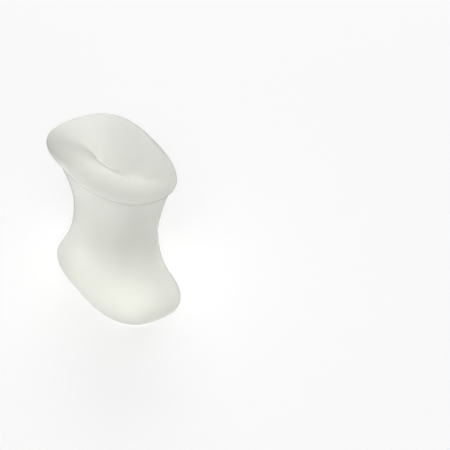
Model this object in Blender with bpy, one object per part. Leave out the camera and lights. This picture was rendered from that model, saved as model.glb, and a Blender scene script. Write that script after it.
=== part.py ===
"""Toe separator: a soft gel spool that sits between two toes and keeps them apart.

It is cast in one piece: a narrow oblong waist, a wider mouth with a soft rolled lip above it, a wider
foot with a thinner rim below it, and a hollow dish in each end.
It stands on its foot, with +Z up through both ends, +X along the oblong's long way and +Y across it.
The origin is on the ground, under the middle of its extents. All sizes are in metres.
"""

from collections import namedtuple

import bmesh
import bpy
import numpy as np

# Overall
HEIGHT = 0.0305              # ground to the crown of the mouth's lip, at its mean level
WAIST_HEIGHT = 0.0154        # ground to the narrowest place

# Waist: the oblong that the toes lie against
WAIST_LENGTH = 0.0238
WAIST_WIDTH = 0.0121
WAIST_SQUARENESS = 2.4       # 2 is an ellipse, and more is nearer to a rectangle

# Mouth, the upper end, with a soft rolled lip that swells round one side
MOUTH_LENGTH = 0.0331
MOUTH_WIDTH = 0.0191
MOUTH_SQUARENESS = 2.55
MOUTH_LIP_LONG = 0.0017      # crown of the lip in from its edge, at the two ends, where it is thinnest
MOUTH_LIP_SIDE = 0.0014      # the same along the two sides
MOUTH_LIP_THICKNESS = 0.0017
MOUTH_ROLL = 1.3             # how much more the lip measures where it is thickest
MOUTH_ROLL_TURN = 305.0      # where that is, in degrees round from +X
MOUTH_LIP_ROOT = 56.0        # where the neck meets the lip's round, in degrees from straight down
MOUTH_SWEEP = 0.70           # how strongly the lip's root pulls the neck out with it
MOUTH_WAIST_PULL = 0.31      # share of the neck's height that the waist holds upright

# Dish in the mouth
MOUTH_DEPTH = 0.0068         # crown of the lip down to the bottom of the dish
MOUTH_BOTTOM_X = -0.0035     # how far off the middle the bottom lies
MOUTH_BOTTOM_Y = -0.0009
MOUTH_DISH_SQUARENESS = 4.0
MOUTH_FULLNESS = 1.1         # 1 is a straight funnel, and more is a rounder shoulder
MOUTH_SHOULDER = 1.4         # how much rounder the shoulder is on its full side
MOUTH_SHOULDER_TURN = 255.0

# The mouth isn't quite level or even: it follows the toes
MOUTH_DIP = 0.0006           # how much lower its ends are than its sides
MOUTH_TILT = 0.0022          # how much higher its +X end is than its -X end
MOUTH_LEAN = 0.0014          # how much higher its -Y side is than its +Y side
MOUTH_WARP = 0.0012          # how much lower two opposite corners are than the other two
MOUTH_TAPER = 0.055          # how much wider it is at its -X end and narrower at its +X end
MOUTH_SHIFT_X = 0.0002
MOUTH_SHIFT_Y = -0.0004

# Foot, the lower end, with a thinner rim that it stands on
FOOT_LENGTH = 0.0328
FOOT_WIDTH = 0.0184
FOOT_SQUARENESS = 2.75
FOOT_LIP_LONG = 0.0009
FOOT_LIP_SIDE = 0.0009
FOOT_LIP_THICKNESS = 0.0014
FOOT_LIP_ROOT = 70.0
FOOT_SWEEP = 5.0
FOOT_WAIST_PULL = 0.54
FOOT_LAND = 0.0006           # width of the flat that touches the ground

# Dish in the foot
FOOT_DEPTH = 0.0060
FOOT_DISH_SQUARENESS = 3.0
FOOT_FULLNESS = 1.5

# Smoothness
AROUND = 64
NECK_STEPS = 9
LIP_STEPS = 6
DISH_STEPS = 8

GEL_COLOUR = (0.80, 0.81, 0.76, 1.0)
GEL_ROUGHNESS = 0.45

End = namedtuple("End", [
    "reach", "length", "width", "squareness",
    "lip_long", "lip_side", "lip_thickness", "roll", "roll_turn", "lip_root", "sweep", "waist_pull",
    "land", "depth", "bottom_x", "bottom_y", "dish_squareness",
    "fullness", "shoulder", "shoulder_turn",
])

# How far an end's lip strays from level, even and centred
Stray = namedtuple("Stray", "dip tilt lean warp taper shift_x shift_y")


def lip_sizes(end, u):
    """The lip's crown in from its edge along X and Y, and half its thickness, round the end."""
    swell = 1 + end.roll * (1 + np.cos(u - np.radians(end.roll_turn))) / 2
    return np.array([end.lip_long, end.lip_side, end.lip_thickness / 2])[:, None, None] * swell


def edge_of(end):
    """Half length, half width and reach of an end, to set against rings by points."""
    return np.array([end.length / 2, end.width / 2, end.reach])[:, None, None]


def neck_stations(end, u):
    """A cubic Bezier curve from the waist, upright there, to the root of the lip, along its round."""
    lip = lip_sizes(end, u)
    sine, cosine = np.sin(np.radians(end.lip_root)), np.cos(np.radians(end.lip_root))
    waist = np.array([WAIST_LENGTH / 2, WAIST_WIDTH / 2, 0.0])[:, None, None]
    root = edge_of(end) - lip * np.array([1 - sine, 1 - sine, 1 + cosine])[:, None, None]
    leave = waist + root * np.array([0.0, 0.0, end.waist_pull])[:, None, None]
    arrive = root - end.sweep * lip * np.array([cosine, cosine, sine])[:, None, None]
    t = np.linspace(0.0, 1.0, NECK_STEPS + 1)[:, None]
    return ((1 - t) ** 3 * waist + 3 * (1 - t) ** 2 * t * leave
            + 3 * (1 - t) * t ** 2 * arrive + t ** 3 * root)


def lip_stations(end, u):
    """An elliptical round from the root, by the edge, to the crown, where the lip is level."""
    turn = np.linspace(np.radians(end.lip_root), np.pi, LIP_STEPS + 1)[1:, None]
    fall = np.stack([1 - np.sin(turn), 1 - np.sin(turn), 1 + np.cos(turn)])
    return edge_of(end) - lip_sizes(end, u) * fall


def dish_stations(end, u):
    """Rings that shrink evenly to the bottom and go down by a superellipse, level at the crown.

    The fourth value is the share of the way in. Rings lie closer together near the bottom.
    """
    share = np.sin(np.linspace(0.0, np.pi / 2, DISH_STEPS + 1))[:-1, None] + 0 * u
    if end.land == 0:
        share = share[1:]
    round_full_side = ((1 + np.cos(u - np.radians(end.shoulder_turn))) / 2) ** 2
    fullness = end.fullness + end.shoulder * round_full_side
    crown = edge_of(end) - lip_sizes(end, u)
    return np.stack([
        (crown[0] - end.land) * (1 - share),
        (crown[1] - end.land) * (1 - share),
        end.reach - end.depth * (1 - (1 - share ** fullness) ** (1 / fullness)),
        share,
    ])


def end_rings(end, stray, direction):
    """Oblong rings x = a cos^(2/n) u, y = b sin^(2/n) u, signs kept, from waist by lip into the dish.

    The second value is the bottom of the dish.
    """
    u = np.linspace(0.0, 2 * np.pi, AROUND, endpoint=False)
    outside = np.concatenate([neck_stations(end, u), lip_stations(end, u)], axis=1)
    outside = np.pad(outside, ((0, 1), (0, 0), (0, 0)))
    inside = dish_stations(end, u)
    length, width, rise, share = np.concatenate([outside, inside], axis=1)
    reached = np.clip(rise / end.reach, 0.0, 1.0) ** 2
    squareness = WAIST_SQUARENESS + (end.squareness - WAIST_SQUARENESS) * reached
    dish = end.squareness + (end.dish_squareness - end.squareness) * share
    bend = 2 / np.where(np.arange(len(share))[:, None] < outside.shape[1], squareness, dish)

    x = length * np.sign(np.cos(u)) * np.abs(np.cos(u)) ** bend
    y = width * np.sign(np.sin(u)) * np.abs(np.sin(u)) ** bend
    y = y * (1 - stray.taper * np.cos(u) * reached)
    lift = (stray.tilt * np.cos(u) - stray.lean * np.sin(u)
            - stray.dip * np.cos(2 * u) - stray.warp * np.sin(2 * u)) / 2
    x = x + stray.shift_x * reached + end.bottom_x * share
    y = y + stray.shift_y * reached + end.bottom_y * share
    z = WAIST_HEIGHT + direction * rise + lift * reached * (1 - share)

    left = (1 - end.depth / end.reach) ** 2
    bottom = np.array([
        stray.shift_x * left + end.bottom_x,
        stray.shift_y * left + end.bottom_y,
        WAIST_HEIGHT + direction * (end.reach - end.depth),
    ])
    return np.stack([x, y, z], axis=2), bottom


def separator_rings():
    """All rings, from the mouth's dish by its lip, the waist and the foot's rim into the foot's dish.

    The other two values are the bottoms of the mouth's dish and the foot's.
    """
    mouth = End(
        HEIGHT - WAIST_HEIGHT, MOUTH_LENGTH, MOUTH_WIDTH, MOUTH_SQUARENESS,
        MOUTH_LIP_LONG, MOUTH_LIP_SIDE, MOUTH_LIP_THICKNESS, MOUTH_ROLL, MOUTH_ROLL_TURN,
        MOUTH_LIP_ROOT, MOUTH_SWEEP, MOUTH_WAIST_PULL,
        0.0, MOUTH_DEPTH, MOUTH_BOTTOM_X, MOUTH_BOTTOM_Y, MOUTH_DISH_SQUARENESS,
        MOUTH_FULLNESS, MOUTH_SHOULDER, MOUTH_SHOULDER_TURN,
    )
    foot = End(
        WAIST_HEIGHT, FOOT_LENGTH, FOOT_WIDTH, FOOT_SQUARENESS,
        FOOT_LIP_LONG, FOOT_LIP_SIDE, FOOT_LIP_THICKNESS, 0.0, 0.0,
        FOOT_LIP_ROOT, FOOT_SWEEP, FOOT_WAIST_PULL,
        FOOT_LAND, FOOT_DEPTH, 0.0, 0.0, FOOT_DISH_SQUARENESS,
        FOOT_FULLNESS, 0.0, 0.0,
    )
    uneven = Stray(MOUTH_DIP, MOUTH_TILT, MOUTH_LEAN, MOUTH_WARP, MOUTH_TAPER,
                   MOUTH_SHIFT_X, MOUTH_SHIFT_Y)
    level = Stray(0.0, 0.0, 0.0, 0.0, 0.0, 0.0, 0.0)
    upper, mouth_bottom = end_rings(mouth, uneven, 1.0)
    lower, foot_bottom = end_rings(foot, level, -1.0)
    rings = np.concatenate([upper[::-1], lower[1:]])
    middle = (rings.max(axis=(0, 1)) + rings.min(axis=(0, 1))) / 2
    to_middle = np.array([middle[0], middle[1], 0.0])
    return rings - to_middle, mouth_bottom - to_middle, foot_bottom - to_middle


def separator_mesh():
    """Quads between the rings and a fan of triangles in the bottom of each dish: one closed skin."""
    rings, mouth_bottom, foot_bottom = separator_rings()
    here = np.arange(len(rings) * AROUND).reshape(-1, AROUND)
    beside = np.roll(here, -1, axis=1)
    quads = np.stack([here[:-1], beside[:-1], beside[1:], here[1:]], axis=2).reshape(-1, 4)
    mouth_point = np.full(AROUND, here.size)
    mouth_fan = np.stack([beside[0], here[0], mouth_point], axis=1)
    foot_fan = np.stack([here[-1], beside[-1], mouth_point + 1], axis=1)
    points = np.concatenate([rings.reshape(-1, 3), [mouth_bottom, foot_bottom]])
    data = bpy.data.meshes.new("toe_separator")
    data.from_pydata(points.tolist(), [], quads.tolist() + mouth_fan.tolist() + foot_fan.tolist())
    skin = bmesh.new()
    skin.from_mesh(data)
    bmesh.ops.recalc_face_normals(skin, faces=skin.faces)
    skin.to_mesh(data)
    skin.free()
    data.shade_smooth()
    return data


def gel_material():
    """Frosted, slightly warm white silicone gel."""
    material = bpy.data.materials.new("frosted_gel")
    material.use_nodes = True
    shader = material.node_tree.nodes["Principled BSDF"]
    shader.inputs["Base Color"].default_value = GEL_COLOUR
    shader.inputs["Roughness"].default_value = GEL_ROUGHNESS
    shader.inputs["Metallic"].default_value = 0.0
    return material


def build():
    for thing in list(bpy.data.objects):
        bpy.data.objects.remove(thing, do_unlink=True)
    separator = bpy.data.objects.new("toe_separator", separator_mesh())
    separator.data.materials.append(gel_material())
    bpy.context.scene.collection.objects.link(separator)


build()
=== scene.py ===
"""Toe separator: the looks of a frosted gel spool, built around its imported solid.

The spool is one piece. Its surface is worked out as rings of one oblong curve that run up the neck,
over the mouth's rolled lip and the foot's rim, and down into a dish in each end. Its gel is clear
inside and frosted on its skin. All sizes are in metres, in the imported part's own frame.
"""

import math

import bpy
import numpy as np
from bpy.props import FloatProperty, FloatVectorProperty, IntProperty, PointerProperty
from mathutils import Matrix, Vector


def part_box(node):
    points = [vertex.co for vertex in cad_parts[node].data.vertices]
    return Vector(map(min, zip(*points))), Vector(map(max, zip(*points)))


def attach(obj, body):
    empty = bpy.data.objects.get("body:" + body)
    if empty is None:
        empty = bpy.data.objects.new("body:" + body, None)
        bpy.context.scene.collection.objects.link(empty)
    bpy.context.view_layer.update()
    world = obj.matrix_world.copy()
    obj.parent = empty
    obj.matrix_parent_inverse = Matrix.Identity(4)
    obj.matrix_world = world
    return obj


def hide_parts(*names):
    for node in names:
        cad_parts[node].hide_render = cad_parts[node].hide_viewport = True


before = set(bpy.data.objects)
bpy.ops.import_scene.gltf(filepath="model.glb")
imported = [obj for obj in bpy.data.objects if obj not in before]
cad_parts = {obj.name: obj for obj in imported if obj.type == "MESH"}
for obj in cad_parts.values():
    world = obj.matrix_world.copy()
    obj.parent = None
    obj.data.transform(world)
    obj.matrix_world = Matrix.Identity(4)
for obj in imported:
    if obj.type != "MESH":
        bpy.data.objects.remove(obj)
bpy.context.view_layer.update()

bl_info = {
    "name": "Toe Separator",
    "version": (1, 0, 0),
    "blender": (4, 5, 0),
    "location": "3D View > Sidebar > Separator",
    "description": "Builds a frosted gel toe separator and its plain studio",
    "category": "Object",
}

NODE = "toe_separator"
SLOT = "frosted_gel"
LOWEST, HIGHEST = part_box(NODE)


class SpoolSizes(bpy.types.PropertyGroup):
    """The spool's height and waist, the same as the solid's, and how finely its skin is divided."""

    height: FloatProperty(
        name="Height", default=0.0305, unit="LENGTH",
        description="Ground to the crown of the mouth's lip, at its mean level")
    waist_height: FloatProperty(
        name="Waist height", default=0.0154, unit="LENGTH",
        description="Ground to the narrowest place")
    waist_length: FloatProperty(
        name="Waist length", default=0.0238, unit="LENGTH",
        description="The waist's oblong, the long way")
    waist_width: FloatProperty(
        name="Waist width", default=0.0121, unit="LENGTH",
        description="The waist's oblong, across")
    waist_squareness: FloatProperty(
        name="Waist squareness", default=2.4,
        description="2 is an ellipse, and more is nearer to a rectangle")
    around: IntProperty(
        name="Points around", default=240, description="Points on each ring")
    neck_steps: IntProperty(
        name="Neck steps", default=60, description="Rings from the waist to a lip's root")
    lip_steps: IntProperty(
        name="Lip steps", default=28, description="Rings round a lip")
    dish_steps: IntProperty(
        name="Dish steps", default=60, description="Rings from a lip's crown to the dish's bottom")


class EndSizes(bpy.types.PropertyGroup):
    """One flared end's sizes. The defaults are the foot's, which is level and even."""

    length: FloatProperty(
        name="Length", default=0.0328, unit="LENGTH", description="Edge to edge, the long way")
    width: FloatProperty(
        name="Width", default=0.0184, unit="LENGTH", description="Edge to edge, across")
    squareness: FloatProperty(
        name="Squareness", default=2.75,
        description="2 is an ellipse, and more is nearer to a rectangle")
    lip_long: FloatProperty(
        name="Lip at the ends", default=0.0009, unit="LENGTH",
        description="Crown of the lip in from its edge, at the two ends")
    lip_side: FloatProperty(
        name="Lip at the sides", default=0.0009, unit="LENGTH",
        description="Crown of the lip in from its edge, at the two sides")
    lip_thickness: FloatProperty(
        name="Lip thickness", default=0.0014, unit="LENGTH",
        description="Height of the lip's round")
    roll: FloatProperty(
        name="Roll", default=0.0,
        description="How much thicker and wider the lip is where it is thickest")
    roll_turn: FloatProperty(
        name="Roll turn", default=0.0, subtype="ANGLE",
        description="Where the lip is thickest, round from +X")
    lip_root: FloatProperty(
        name="Lip root", default=math.radians(70.0), subtype="ANGLE",
        description="Where the neck meets the lip's round, from straight below it")
    sweep: FloatProperty(
        name="Sweep", default=5.0,
        description="How strongly the lip's root pulls the neck out with it")
    waist_pull: FloatProperty(
        name="Waist pull", default=0.54,
        description="Share of the neck's height that the waist holds upright")
    land: FloatProperty(
        name="Land", default=0.0006, unit="LENGTH", description="Width of the flat on the lip")
    depth: FloatProperty(
        name="Depth", default=0.0060, unit="LENGTH",
        description="Lip down to the dish's bottom, before the bottom is rounded")
    dish_round: FloatProperty(
        name="Dish round", default=0.0008, unit="LENGTH",
        description="How widely the dish's bottom is rounded")
    dish_x: FloatProperty(
        name="Bottom X", default=0.0, unit="LENGTH", description="The dish's bottom, off the middle")
    dish_y: FloatProperty(
        name="Bottom Y", default=0.0, unit="LENGTH", description="The dish's bottom, off the middle")
    dish_squareness: FloatProperty(
        name="Dish squareness", default=2.4,
        description="Squareness of the rings near the dish's bottom")
    crease: FloatProperty(
        name="Crease", default=0.0,
        description="How much squarer those rings are at the dish's one clear corner")
    crease_turn: FloatProperty(
        name="Crease turn", default=0.0, subtype="ANGLE",
        description="Where that corner is, round from +X")
    fullness: FloatProperty(
        name="Fullness", default=1.5,
        description="1 is a straight slope down to the bottom, and more is a rounder shoulder")
    shoulder: FloatProperty(
        name="Shoulder", default=0.0,
        description="How much fuller the widest shoulder is")
    shoulder_turn: FloatProperty(
        name="Shoulder turn", default=0.0, subtype="ANGLE",
        description="Where the widest shoulder is, round from +X")
    dip: FloatProperty(
        name="Dip", default=0.0, unit="LENGTH",
        description="How much lower the ends are than the sides")
    tilt: FloatProperty(
        name="Tilt", default=0.0, unit="LENGTH",
        description="How much higher the +X end is than the other")
    lean: FloatProperty(
        name="Lean", default=0.0, unit="LENGTH",
        description="How much higher the -Y side is than the other")
    warp: FloatProperty(
        name="Warp", default=0.0, unit="LENGTH",
        description="How much lower two opposite corners are than the other two")
    taper: FloatProperty(
        name="Taper", default=0.0, description="How much wider it is at its -X end")
    shift_x: FloatProperty(
        name="Shift X", default=0.0, unit="LENGTH", description="Its middle, off the waist's")
    shift_y: FloatProperty(
        name="Shift Y", default=0.0, unit="LENGTH", description="Its middle, off the waist's")


# The mouth's sizes, in the place of the foot's
MOUTH = {
    "length": 0.0331, "width": 0.0191, "squareness": 2.55,
    "lip_long": 0.0017, "lip_side": 0.0014, "lip_thickness": 0.0017,
    "roll": 1.3, "roll_turn": math.radians(305.0),
    "lip_root": math.radians(56.0), "sweep": 0.70, "waist_pull": 0.31, "land": 0.0,
    "depth": 0.0068, "dish_round": 0.0014, "dish_x": -0.0035, "dish_y": -0.0009,
    "dish_squareness": 2.2, "crease": 2.5, "crease_turn": math.radians(135.0),
    "fullness": 1.25, "shoulder": 1.0, "shoulder_turn": math.radians(230.0),
    "dip": 0.0006, "tilt": 0.0022, "lean": 0.0014, "warp": 0.0012,
    "taper": 0.055, "shift_x": 0.0002, "shift_y": -0.0004,
}


class GelFinish(bpy.types.PropertyGroup):
    """The frosted gel's colours and surface."""

    pale: FloatVectorProperty(
        name="Pale gel", subtype="COLOR", size=4, default=(0.885, 0.89, 0.84, 1.0),
        description="The gel's colour where it is clearest")
    cloudy: FloatVectorProperty(
        name="Cloudy gel", subtype="COLOR", size=4, default=(0.845, 0.85, 0.795, 1.0),
        description="The gel's colour where it is a little milky")
    clearness: FloatProperty(
        name="Clearness", default=0.9,
        description="Share of the light that goes through the gel")
    scatter: FloatProperty(
        name="Scatter distance", default=0.0012, unit="LENGTH",
        description="How far the rest goes into the gel before it turns")
    roughness: FloatProperty(
        name="Frosting", default=0.55, description="The frosted skin's mean roughness")
    grain: FloatProperty(
        name="Grain", default=0.00003, unit="LENGTH",
        description="Height of the frosted skin's grain")


# Noise in the gel: slow clouds, finer streaks, and the grain of its frosted skin
CLOUDS = {"Scale": 110.0, "Detail": 3.0, "Roughness": 0.5}
STREAKS = {"Scale": 700.0, "Detail": 4.0, "Roughness": 0.6}
FROST = {"Scale": 4200.0, "Detail": 2.0, "Roughness": 0.5}

# How much the clouds and the streaks each do to the colour, the roughness and the grain.
# Where both are at nothing, the roughness is off its mean by LEAST_MATT.
CLOUD_TONE = 0.7
STREAK_TONE = 0.3
CLOUD_MATT = 0.06
STREAK_MATT = 0.05
LEAST_MATT = -0.05
STREAK_GRAIN = 0.8

# How strongly the gel bends light, and how far red, green and blue go in it against each other
GEL_IOR = 1.41
SCATTER_REACH = (1.0, 1.0, 0.9)


class StudioSetting(bpy.types.PropertyGroup):
    """The camera's place, the floor and the room's light."""

    camera_turn: FloatProperty(
        name="Camera turn", default=math.radians(-32.03), subtype="ANGLE",
        description="Direction from the aim to the camera, round from +X")
    camera_lift: FloatProperty(
        name="Camera lift", default=math.radians(36.59), subtype="ANGLE",
        description="Height of the camera above the ground, as an angle")
    camera_roll: FloatProperty(
        name="Camera roll", default=math.radians(0.42), subtype="ANGLE",
        description="Lean of the camera about its own axis")
    camera_distance: FloatProperty(
        name="Camera distance", default=0.3270, unit="LENGTH", description="Aim to camera")
    camera_lens: FloatProperty(
        name="Lens", default=124.7, description="Focal length on a 36 mm sensor")
    aim: FloatVectorProperty(
        name="Aim", default=(-0.0037, 0.0278, 0.0), subtype="XYZ", unit="LENGTH",
        description="The point on the ground that the camera looks at")
    floor_colour: FloatVectorProperty(
        name="Floor colour", subtype="COLOR", size=4, default=(0.5, 0.5, 0.5, 1.0),
        description="The floor's matt colour, under the white that is seen on it")
    floor_white: FloatProperty(
        name="Floor white", default=0.56,
        description="What is added to the floor where it is seen, so that it is white")
    room_light: FloatProperty(
        name="Room light", default=0.03, description="Even light from all round")


SENSOR_WIDTH = 36.0

# The floor's half width and the squares along it, and where its added white grows to full white
FLOOR_HALF = 2.0
FLOOR_SQUARES = 64
WHITE_STARTS = 0.10
WHITE_ENDS = 0.70

# Each lamp's turn from the camera's and its lift, in degrees, and its power in watts
LAMPS = {
    "front_lamp": (0.0, 45.0, 1.05),
    "back_lamp": (180.0, 45.0, 0.80),
    "top_lamp": (180.0, 75.0, 0.45),
    "side_lamp": (90.0, 45.0, 0.20),
}
LAMP_DISTANCE = 0.5
LAMP_SIZE = 0.25


def lip_sizes(end, u):
    """The lip's crown in from its edge along X and along Y, and half its thickness, round the end.

    All three swell together, by 1 + roll (1 + cos(u - roll_turn)) / 2.
    """
    swell = 1 + end.roll * (1 + np.cos(u - end.roll_turn)) / 2
    return np.array([end.lip_long, end.lip_side, end.lip_thickness / 2])[:, None, None] * swell


def edge_of(end, reach):
    """Half length, half width and reach of an end, to set against rings by points."""
    return np.array([end.length / 2, end.width / 2, reach])[:, None, None]


def neck_stations(spool, end, reach, u):
    """Half length, half width and rise from the waist to the root of the lip, by rings by points.

    A cubic Bezier curve: (1-t)^3 waist + 3(1-t)^2 t leave + 3(1-t)t^2 arrive + t^3 root, upright at
    the waist and along the lip's own round at its root.
    """
    lip = lip_sizes(end, u)
    sine, cosine = math.sin(end.lip_root), math.cos(end.lip_root)
    waist = np.array([spool.waist_length / 2, spool.waist_width / 2, 0.0])[:, None, None]
    root = edge_of(end, reach) - lip * np.array([1 - sine, 1 - sine, 1 + cosine])[:, None, None]
    leave = waist + root * np.array([0.0, 0.0, end.waist_pull])[:, None, None]
    arrive = root - end.sweep * lip * np.array([cosine, cosine, sine])[:, None, None]
    t = np.linspace(0.0, 1.0, spool.neck_steps + 1)[:, None]
    return ((1 - t) ** 3 * waist + 3 * (1 - t) ** 2 * t * leave
            + 3 * (1 - t) * t ** 2 * arrive + t ** 3 * root)


def lip_stations(spool, end, reach, u):
    """Half length, half width and rise of the lip's round, from its root to its crown.

    An ellipse: in from the edge by lip (1 - sin turn), down from the top by half the lip's thickness
    times (1 + cos turn).
    """
    turn = np.linspace(end.lip_root, np.pi, spool.lip_steps + 1)[1:, None]
    fall = np.stack([1 - np.sin(turn), 1 - np.sin(turn), 1 + np.cos(turn)])
    return edge_of(end, reach) - lip_sizes(end, u) * fall


def dish_stations(spool, end, reach, u):
    """Half length, half width, rise and share inwards of the dish, by rings by points.

    The rings shrink as the share s goes from 0 at the crown to 1 at the bottom, along a sine, so
    that they crowd there. They go down by depth (1 - (1 - s^n)^(1/n)), a superellipse of power
    n = fullness + shoulder ((1 + cos(u - shoulder_turn)) / 2)^2. The height h left over the bottom
    becomes sqrt(h^2 + round^2), less what that adds at the crown, so that the bottom is round.
    """
    share = np.sin(np.linspace(0.0, np.pi / 2, spool.dish_steps + 1))[:-1, None] * np.ones(len(u))
    # Without a land, the crown's ring is the lip's last one
    if end.land == 0:
        share = share[1:]
    fullness = end.fullness + end.shoulder * ((1 + np.cos(u - end.shoulder_turn)) / 2) ** 2
    fall = 1 - (1 - share ** fullness) ** (1 / fullness)
    left = np.hypot(end.depth * (1 - fall), end.dish_round)
    sink = np.hypot(end.depth, end.dish_round) - left
    crown = edge_of(end, reach) - lip_sizes(end, u)
    return np.stack([
        (crown[0] - end.land) * (1 - share),
        (crown[1] - end.land) * (1 - share),
        reach - sink,
        share,
    ])


def end_rings(spool, end, reach, direction):
    """One end's oblong rings, from the waist by the lip to the dish, and the dish's bottom point.

    Each ring is x = a cos^(2/n) u, y = b sin^(2/n) u, with signs kept. Its squareness n goes from
    the waist's to the end's with the square of the rise, and in the dish on to the dish's own, which
    is squarer towards the crease. With the same square the taper and the shift come in, and waves
    of u lift the rings for the tilt, lean, dip and warp, less and less down the dish.
    """
    u = np.linspace(0.0, 2 * np.pi, spool.around, endpoint=False)
    outside = np.concatenate(
        [neck_stations(spool, end, reach, u), lip_stations(spool, end, reach, u)], axis=1)
    # Outside, the share inwards is 0
    outside = np.pad(outside, ((0, 1), (0, 0), (0, 0)))
    inside = dish_stations(spool, end, reach, u)
    length, width, rise, share = np.concatenate([outside, inside], axis=1)
    reached = np.clip(rise / reach, 0.0, 1.0) ** 2
    squareness = spool.waist_squareness + (end.squareness - spool.waist_squareness) * reached
    inner = end.dish_squareness + end.crease * ((1 + np.cos(u - end.crease_turn)) / 2) ** 2
    squareness = np.where(share > 0, end.squareness + (inner - end.squareness) * share, squareness)

    x = length * np.sign(np.cos(u)) * np.abs(np.cos(u)) ** (2 / squareness)
    y = width * np.sign(np.sin(u)) * np.abs(np.sin(u)) ** (2 / squareness)
    y = y * (1 - end.taper * np.cos(u) * reached)
    lift = (end.tilt * np.cos(u) - end.lean * np.sin(u)
            - end.dip * np.cos(2 * u) - end.warp * np.sin(2 * u)) / 2
    z = spool.waist_height + direction * rise + lift * reached * (1 - share)
    x = x + end.shift_x * reached + end.dish_x * share
    y = y + end.shift_y * reached + end.dish_y * share
    depth = math.hypot(end.depth, end.dish_round) - end.dish_round
    sunk = (1 - depth / reach) ** 2
    bottom = np.array([
        end.shift_x * sunk + end.dish_x,
        end.shift_y * sunk + end.dish_y,
        spool.waist_height + direction * (reach - depth),
    ])
    return np.stack([x, y, z], axis=2), bottom


def spool_skin(spool, mouth, foot):
    """All rings from the mouth's dish over its lip, down the neck and into the foot's dish.

    They are moved so that the middle of their reach in X and in Y lies over the origin.
    """
    upper, upper_bottom = end_rings(spool, mouth, spool.height - spool.waist_height, 1.0)
    lower, lower_bottom = end_rings(spool, foot, spool.waist_height, -1.0)
    grid = np.concatenate([upper[::-1], lower[1:]])
    middle = (grid.max(axis=(0, 1)) + grid.min(axis=(0, 1))) / 2
    middle[2] = 0.0
    return grid - middle, [upper_bottom - middle, lower_bottom - middle]


def skin_mesh(name, grid, bottoms):
    """The rings' quads, closed at both bottoms by fans of triangles, with their fronts outwards."""
    rows, around = grid.shape[:2]
    points = np.arange(rows * around).reshape(rows, around)
    beside = np.roll(points, -1, axis=1)
    quads = np.stack([points[:-1], points[1:], beside[1:], beside[:-1]], axis=2).reshape(-1, 4)
    first = np.full(around, rows * around)
    fans = np.concatenate([
        np.stack([first, points[0], beside[0]], axis=1),
        np.stack([first + 1, beside[-1], points[-1]], axis=1),
    ])
    places = np.concatenate([grid.reshape(-1, 3), bottoms])
    corners = np.concatenate([quads.reshape(-1), fans.reshape(-1)])
    starts = np.concatenate([
        np.arange(len(quads)) * 4, quads.size + np.arange(len(fans)) * 3])
    data = bpy.data.meshes.new(name)
    data.vertices.add(len(places))
    data.vertices.foreach_set("co", places.reshape(-1).astype(np.float32))
    data.loops.add(len(corners))
    data.loops.foreach_set("vertex_index", corners)
    data.polygons.add(len(starts))
    data.polygons.foreach_set("loop_start", starts)
    data.update(calc_edges=True)
    data.validate()
    data.shade_smooth()
    return data


class Link:
    """A shader socket that takes part in sums: each operation adds its own Math node."""

    def __init__(self, nodes, socket):
        self.nodes = nodes
        self.socket = socket

    def _math(self, operation, left, right):
        return self.nodes.add("ShaderNodeMath", {"operation": operation}, {0: left, 1: right})

    def __add__(self, other):
        return self._math("ADD", self, other)

    __radd__ = __add__

    def __sub__(self, other):
        return self._math("SUBTRACT", self, other)

    def __rsub__(self, other):
        return self._math("SUBTRACT", other, self)

    def __mul__(self, other):
        return self._math("MULTIPLY", self, other)

    __rmul__ = __mul__


# The places of the Mix node's colour sockets, which share their names with its other ones
MIX_FACTOR = 0
MIX_FIRST = 6
MIX_SECOND = 7
MIX_RESULT = 2


class ShaderNodes:
    """Adds nodes to one material's or world's tree."""

    def __init__(self, tree):
        self.tree = tree
        tree.nodes.clear()

    def add(self, kind, settings=None, inputs=None, output=0):
        """One node of that kind: settings first, then values or links of its sockets."""
        node = self.tree.nodes.new(kind)
        for key, value in (settings or {}).items():
            setattr(node, key, value)
        for key, value in (inputs or {}).items():
            if isinstance(value, Link):
                self.tree.links.new(value.socket, node.inputs[key])
            else:
                node.inputs[key].default_value = value
        return Link(self, node.outputs[output]) if len(node.outputs) else None

    def blend(self, factor, first, second):
        """A mix of two colours."""
        return self.add(
            "ShaderNodeMix", {"data_type": "RGBA"},
            {MIX_FACTOR: factor, MIX_FIRST: first, MIX_SECOND: second}, output=MIX_RESULT)


def gel_material(finish):
    """Frosted gel: most light goes through it and the rest scatters just under its matt, finely
    grained skin, and it is a little milkier and rougher in slow clouds and fine streaks."""
    material = bpy.data.materials.new(SLOT)
    material.use_nodes = True
    nodes = ShaderNodes(material.node_tree)
    place = nodes.add("ShaderNodeTexCoord", output="Object")
    clouds, streaks, frost = (
        nodes.add("ShaderNodeTexNoise", inputs={"Vector": place, **noise})
        for noise in (CLOUDS, STREAKS, FROST))
    colour = nodes.blend(
        clouds * CLOUD_TONE + streaks * STREAK_TONE, finish.pale, finish.cloudy)
    skin = finish.roughness + LEAST_MATT + clouds * CLOUD_MATT + streaks * STREAK_MATT
    bump = nodes.add("ShaderNodeBump", inputs={
        "Strength": 1.0, "Distance": finish.grain, "Height": frost + streaks * STREAK_GRAIN})
    gel = nodes.add(
        "ShaderNodeBsdfPrincipled",
        {"subsurface_method": "RANDOM_WALK"},
        {
            "Base Color": colour, "Roughness": skin, "Normal": bump,
            "IOR": GEL_IOR,
            "Transmission Weight": finish.clearness,
            "Subsurface Weight": 1.0,
            "Subsurface Radius": SCATTER_REACH,
            "Subsurface Scale": finish.scatter,
            "Subsurface Anisotropy": 0.0,
        })
    nodes.add("ShaderNodeOutputMaterial", inputs={"Surface": gel})
    return material


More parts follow.
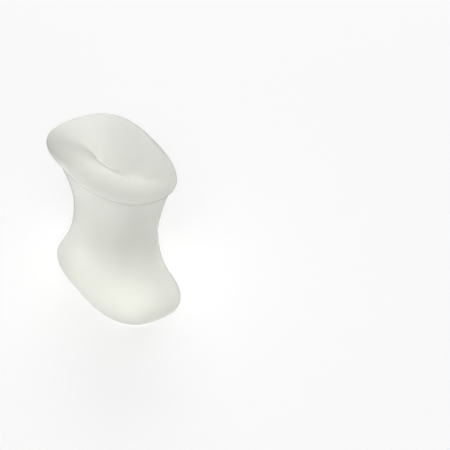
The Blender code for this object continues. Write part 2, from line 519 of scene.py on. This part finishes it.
class SEPARATOR_OT_spool(bpy.types.Operator):
    """Builds the one gel spool over its plain solid"""

    bl_idname = "separator.spool"
    bl_label = "Gel Spool"

    def execute(self, context):
        scene = context.scene
        for key, value in MOUTH.items():
            setattr(scene.separator_mouth, key, value)
        grid, bottoms = spool_skin(
            scene.separator_spool, scene.separator_mouth, scene.separator_foot)
        data = skin_mesh("gel_spool", grid, bottoms)
        data.materials.append(gel_material(scene.separator_finish))
        spool = bpy.data.objects.new("gel_spool", data)
        scene.collection.objects.link(spool)
        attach(spool, "root")
        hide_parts(NODE)
        return {"FINISHED"}


def facing(direction, roll=0.0):
    """A rotation whose own +Z points along direction, and whose +Y is as upright as it can be
    before it is turned by roll."""
    back = Vector(direction).normalized()
    right = Vector((0.0, 0.0, 1.0)).cross(back).normalized()
    up = back.cross(right)
    turned = Matrix((right, up, back)).transposed()
    return turned @ Matrix.Rotation(roll, 3, "Z")


def bearing(turn, lift):
    """The unit vector at a turn round from +X and a lift above the ground."""
    return Vector((math.cos(turn) * math.cos(lift), math.sin(turn) * math.cos(lift), math.sin(lift)))


def add_camera(scene, studio):
    """The camera, at the photograph's view of the spool."""
    data = bpy.data.cameras.new("camera")
    data.lens = studio.camera_lens
    data.sensor_width = SENSOR_WIDTH
    data.clip_start = 0.01
    data.clip_end = 10.0
    camera = bpy.data.objects.new("camera", data)
    back = bearing(studio.camera_turn, studio.camera_lift)
    place = Vector(studio.aim) + studio.camera_distance * back
    camera.matrix_world = (
        Matrix.Translation(place) @ facing(back, studio.camera_roll).to_4x4())
    scene.collection.objects.link(camera)
    scene.camera = camera


def add_lamp(scene, studio, name, turn, lift, power):
    """A square soft lamp that faces the spool's middle; turn is counted from the camera's."""
    data = bpy.data.lights.new(name, "AREA")
    data.shape = "SQUARE"
    data.size = LAMP_SIZE
    data.energy = power
    lamp = bpy.data.objects.new(name, data)
    back = bearing(studio.camera_turn + math.radians(turn), math.radians(lift))
    middle = (LOWEST + HIGHEST) / 2
    lamp.matrix_world = (
        Matrix.Translation(middle + LAMP_DISTANCE * back) @ facing(back).to_4x4())
    scene.collection.objects.link(lamp)


def seen_straight(nodes):
    """1 for the camera's rays and for those that glossy or clear surfaces send on, else 0."""
    camera, glossy, through = (
        nodes.add("ShaderNodeLightPath", output=name)
        for name in ("Is Camera Ray", "Is Glossy Ray", "Is Transmission Ray"))
    either = nodes.add("ShaderNodeMath", {"operation": "MAXIMUM"}, {0: camera, 1: through})
    return nodes.add("ShaderNodeMath", {"operation": "MAXIMUM"}, {0: either, 1: glossy})


def add_world(scene, studio):
    """White where it is seen, and an even dim light elsewhere."""
    world = bpy.data.worlds.new("studio")
    world.use_nodes = True
    nodes = ShaderNodes(world.node_tree)
    seen = seen_straight(nodes)
    light = nodes.add("ShaderNodeBackground", inputs={
        "Color": (1.0, 1.0, 1.0, 1.0), "Strength": seen + (1.0 - seen) * studio.room_light})
    nodes.add("ShaderNodeOutputWorld", inputs={"Surface": light})
    scene.world = world


def floor_material(studio):
    """A matt floor that is seen nearly white, with the spool's soft shadow kept.

    The white that is added grows outwards, where less of the lamps' light falls.
    """
    material = bpy.data.materials.new("floor")
    material.use_nodes = True
    nodes = ShaderNodes(material.node_tree)
    place = nodes.add("ShaderNodeTexCoord", output="Object")
    reach = nodes.add(
        "ShaderNodeVectorMath", {"operation": "LENGTH"}, {0: place}, output="Value")
    far = nodes.add("ShaderNodeMapRange", {"interpolation_type": "SMOOTHSTEP"}, {
        "Value": reach, "From Min": WHITE_STARTS, "From Max": WHITE_ENDS})
    white = studio.floor_white
    matt = nodes.add("ShaderNodeBsdfPrincipled", inputs={
        "Base Color": tuple(studio.floor_colour), "Roughness": 0.9,
        "Emission Color": nodes.blend(far, (white, white, white, 1.0), (1.0, 1.0, 1.0, 1.0)),
        "Emission Strength": seen_straight(nodes),
    })
    nodes.add("ShaderNodeOutputMaterial", inputs={"Surface": matt})
    return material


def floor_mesh():
    """A flat square sheet around the origin, of even squares: x and y each run along one line.

    The render samples its white by its faces, so their number has a small say in the gel's tone.
    """
    line = np.linspace(-FLOOR_HALF, FLOOR_HALF, FLOOR_SQUARES + 1)
    x, y = np.meshgrid(line, line, indexing="ij")
    points = np.stack([x, y, np.zeros_like(x)], axis=2).reshape(-1, 3)
    index = np.arange(len(points)).reshape(len(line), len(line))
    quads = np.stack([index[:-1, :-1], index[1:, :-1], index[1:, 1:], index[:-1, 1:]], axis=2)
    data = bpy.data.meshes.new("floor")
    data.from_pydata(points.tolist(), [], quads.reshape(-1, 4).tolist())
    data.shade_smooth()
    return data


class SEPARATOR_OT_studio(bpy.types.Operator):
    """Adds the pale floor, the soft lamps and the camera"""

    bl_idname = "separator.studio"
    bl_label = "Studio"

    def execute(self, context):
        scene = context.scene
        studio = scene.separator_studio
        data = floor_mesh()
        data.materials.append(floor_material(studio))
        floor = bpy.data.objects.new("floor", data)
        scene.collection.objects.link(floor)
        add_world(scene, studio)
        add_camera(scene, studio)
        for name, (turn, lift, power) in LAMPS.items():
            add_lamp(scene, studio, name, turn, lift, power)
        scene.view_settings.view_transform = "Standard"
        return {"FINISHED"}


class SEPARATOR_PT_panel(bpy.types.Panel):
    """Lists the steps that build the separator"""

    bl_label = "Toe Separator"
    bl_idname = "SEPARATOR_PT_panel"
    bl_space_type = "VIEW_3D"
    bl_region_type = "UI"
    bl_category = "Separator"

    def draw(self, context):
        for step in STEPS:
            self.layout.operator(step.bl_idname)


STEPS = (SEPARATOR_OT_spool, SEPARATOR_OT_studio)
SETTINGS = {
    "separator_spool": SpoolSizes,
    "separator_mouth": EndSizes,
    "separator_foot": EndSizes,
    "separator_finish": GelFinish,
    "separator_studio": StudioSetting,
}
CLASSES = (SpoolSizes, EndSizes, GelFinish, StudioSetting, *STEPS, SEPARATOR_PT_panel)


def register():
    for each in CLASSES:
        bpy.utils.register_class(each)
    for name, group in SETTINGS.items():
        setattr(bpy.types.Scene, name, PointerProperty(type=group))


def unregister():
    for name in SETTINGS:
        delattr(bpy.types.Scene, name)
    for each in reversed(CLASSES):
        bpy.utils.unregister_class(each)


def main():
    register()
    bpy.ops.separator.spool()
    bpy.ops.separator.studio()


if __name__ == "__main__":
    main()
